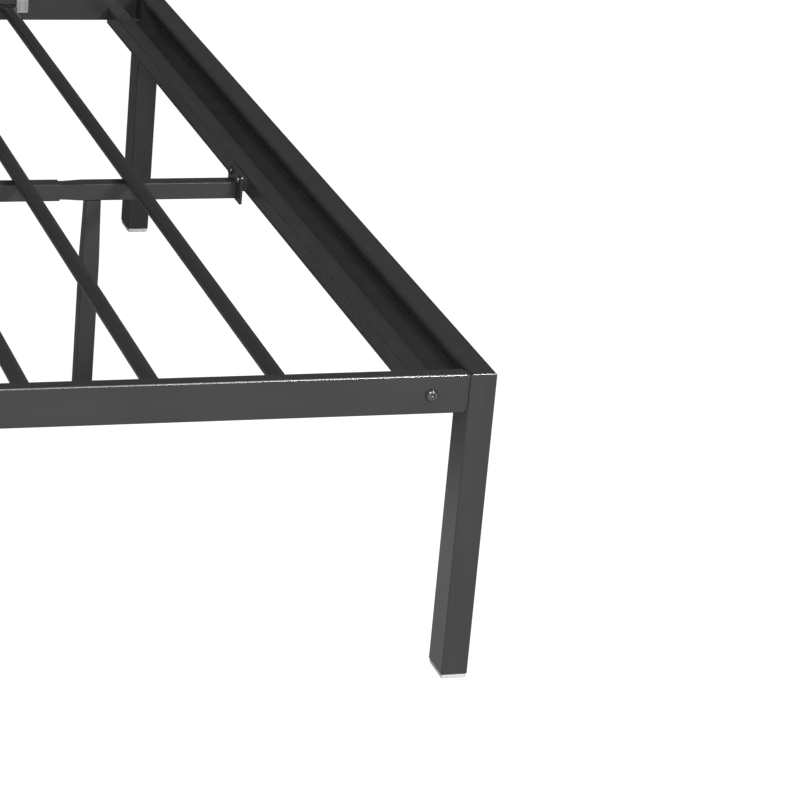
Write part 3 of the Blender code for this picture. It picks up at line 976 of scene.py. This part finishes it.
def make_lights():
    for name, (place, size, power) in LIGHTS.items():
        light = bpy.data.lights.new(name, "AREA")
        light.size = size
        light.energy = power
        obj = bpy.data.objects.new(name, light)
        obj.location = place
        obj.rotation_mode = "QUATERNION"
        aim = Vector(LIGHTS_AIM) - Vector(place)
        obj.rotation_quaternion = aim.to_track_quat("-Z", "Y")
        obj.visible_camera = False
        bpy.context.scene.collection.objects.link(obj)


# Each wall's brightness, and the axis and side that it stands on
ROOM = {
    "front": (0.05, "Y", -1),
    "back": (0.15, "Y", 1),
    "left": (0.45, "X", -1),
    "right": (0.12, "X", 1),
}


def make_world():
    """A studio whose walls have a brightness each, before a white backdrop."""
    world = bpy.data.worlds.new("studio")
    world.use_nodes = True
    tree = world.node_tree
    tree.nodes.clear()

    def math_node(operation, first, second):
        node = tree.nodes.new("ShaderNodeMath")
        node.operation = operation
        for socket, value in zip(node.inputs, (first, second)):
            if isinstance(value, (int, float)):
                socket.default_value = value
            else:
                tree.links.new(value, socket)
        return node.outputs["Value"]

    where = tree.nodes.new("ShaderNodeTexCoord")
    split = tree.nodes.new("ShaderNodeSeparateXYZ")
    tree.links.new(where.outputs["Generated"], split.inputs["Vector"])
    total = 0.0
    for brightness, axis, sign in ROOM.values():
        facing = math_node("MAXIMUM", math_node("MULTIPLY", split.outputs[axis], sign), 0.0)
        share = math_node("MULTIPLY", math_node("POWER", facing, 2.0), brightness)
        total = math_node("ADD", share, total)
    room = tree.nodes.new("ShaderNodeBackground")
    tree.links.new(total, room.inputs["Strength"])
    backdrop = tree.nodes.new("ShaderNodeBackground")
    backdrop.inputs["Color"].default_value = (1.0, 1.0, 1.0, 1.0)
    mix = tree.nodes.new("ShaderNodeMixShader")
    path = tree.nodes.new("ShaderNodeLightPath")
    output = tree.nodes.new("ShaderNodeOutputWorld")
    tree.links.new(path.outputs["Is Camera Ray"], mix.inputs["Fac"])
    tree.links.new(room.outputs["Background"], mix.inputs[1])
    tree.links.new(backdrop.outputs["Background"], mix.inputs[2])
    tree.links.new(mix.outputs["Shader"], output.inputs["Surface"])
    bpy.context.scene.world = world


CAMERA_PLACE = (-0.210, -3.951, 1.641)
CAMERA_YAW = 19.35
CAMERA_PITCH = -21.21
CAMERA_ROLL = 5.29
CAMERA_LENS = 156.3


def make_camera():
    """A long lens on the near side, turned and rolled towards the foot end's near corner."""
    data = bpy.data.cameras.new("camera")
    data.lens = CAMERA_LENS
    data.sensor_width = 36.0
    camera = bpy.data.objects.new("camera", data)
    turn = (
        Matrix.Rotation(-math.radians(CAMERA_YAW), 4, "Z")
        @ Matrix.Rotation(math.radians(90 + CAMERA_PITCH), 4, "X")
        @ Matrix.Rotation(math.radians(CAMERA_ROLL), 4, "Z")
    )
    camera.matrix_world = Matrix.Translation(CAMERA_PLACE) @ turn
    bpy.context.scene.collection.objects.link(camera)
    bpy.context.scene.camera = camera


def make_bed():
    for end in ENDS:
        make_end_channel(end)
        make_inner_tube(end)
        make_hanger(end)
    for end, side in CORNERS:
        make_corner_leg(end, side)
        make_side_rail(end, side)
        coat_stub(end, side)
    for side in SIDES:
        make_joint_plate(side)
        make_middle_leg(side)
    for name in slat_names():
        make_slat(name)
    make_centre_bar()
    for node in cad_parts:
        if node.endswith("_centre_leg"):
            make_centre_leg(node)
        if node.endswith("_pad"):
            make_pad(node)
    make_bolts()
    make_clips()
    make_welds()


make_bed()
make_floor()
make_world()
make_lights()
make_camera()
bpy.context.scene.view_settings.view_transform = "Standard"
